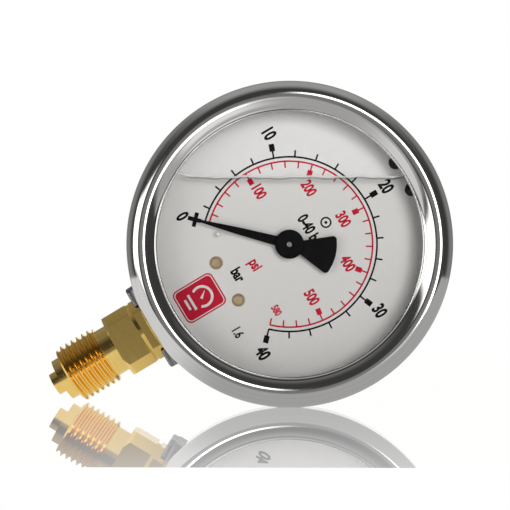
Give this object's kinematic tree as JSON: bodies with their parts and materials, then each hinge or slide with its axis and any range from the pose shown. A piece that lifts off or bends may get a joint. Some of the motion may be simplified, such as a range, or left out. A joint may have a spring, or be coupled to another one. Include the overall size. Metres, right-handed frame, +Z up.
{
  "type": "pressure gauge",
  "caption": "Round liquid-filled dial pressure gauge with a crimped bezel, a Bourdon tube movement and a bottom threaded connection.",
  "frame": {"origin": "on the thread's axis, at the thread's lower end, where it meets the pilot", "axes": "+Z up through the 12 o'clock mark, the thread points along -Z, and the dial faces -Y"},
  "size_m": [0.0686, 0.0334, 0.0941],
  "materials": {
    "stainless": "drawn stainless, satin",
    "collar_steel": "satin grey",
    "polished_steel": "polished",
    "clear_window": "clear, polished",
    "gasket_rubber": "matt",
    "plug_rubber": "matt",
    "screw_steel": "zinc plated",
    "brass_body": "turned brass",
    "brass_small": "turned",
    "tube_bronze": "drawn tube",
    "screw_brass": "turned",
    "plate_brass": "stamped",
    "arbor_steel": "ground",
    "spring_bronze": "rolled strip",
    "dial_white": "white, satin",
    "pin_white": "white",
    "pointer_black": "black, satin",
    "glycerine": "clear liquid"
  },
  "bodies": {
    "housing": {"case": "stainless", "case_collar": "collar_steel", "bezel_ring": "polished_steel", "window": "clear_window", "window_gasket": "gasket_rubber", "fill_plug": "plug_rubber", "case_screws": "screw_steel", "connection": "brass_body", "stem_seal": "gasket_rubber", "throttle_screw": "brass_small", "bourdon_tube": "tube_bronze", "movement_back_plate": "plate_brass", "movement_front_plate": "plate_brass", "movement_pillars": "brass_small", "pillar_screws": "screw_brass", "mounting_screws": "screw_steel", "hairspring": "spring_bronze", "hairspring_stud": "brass_small", "dial": "dial_white", "dial_pillars": "brass_small", "dial_screws": "screw_brass", "stop_pin": "pin_white", "glycerine_fill": "glycerine"},
    "tube_end": {"tube_end_piece": "brass_small", "link_tip_screw": "screw_brass"},
    "sector": {"sector_gear": "plate_brass", "sector_arbor": "arbor_steel", "link_tail_pin": "screw_brass"},
    "link": {"link": "brass_small"},
    "pointer_train": {"pinion_gear": "brass_small", "pinion_arbor": "arbor_steel", "hairspring_collet": "brass_small", "pointer": "pointer_black", "pointer_bush": "pointer_black"}
  },
  "joints": [
    {"name": "sector_turn", "type": "hinge", "parent": "housing", "child": "sector", "pos_m": [0, 0, 0.0423], "axis": [0, -1, 0], "range_deg": [0, 33.75], "stiffness_Nm_per_rad": 0.005, "springref_deg": -5.73},
    {"name": "pointer_turn", "type": "hinge", "parent": "housing", "child": "pointer_train", "pos_m": [0, 0, 0.0558], "axis": [0, -1, 0], "range_deg": [-270, 0], "deforming": ["hairspring"]},
    {"name": "tube_end_swing", "type": "hinge", "parent": "housing", "child": "tube_end", "pos_m": [-0.00278, 0, 0.0622], "axis": [0, -1, 0], "range_deg": [0, 6.33], "deforming": ["bourdon_tube"]},
    {"name": "link_swing", "type": "hinge", "parent": "sector", "child": "link", "pos_m": [0.00169, 0, 0.03813], "axis": [0, -1, 0], "range_deg": [-30.95, 0]}
  ],
  "couplings": [
    {"joint": "pointer_turn", "follows": "sector_turn", "ratio": -8},
    {"joint": "tube_end_swing", "follows": "sector_turn", "ratio": 0.1875},
    {"joint": "link_swing", "follows": "sector_turn", "ratio": -0.91685}
  ]
}
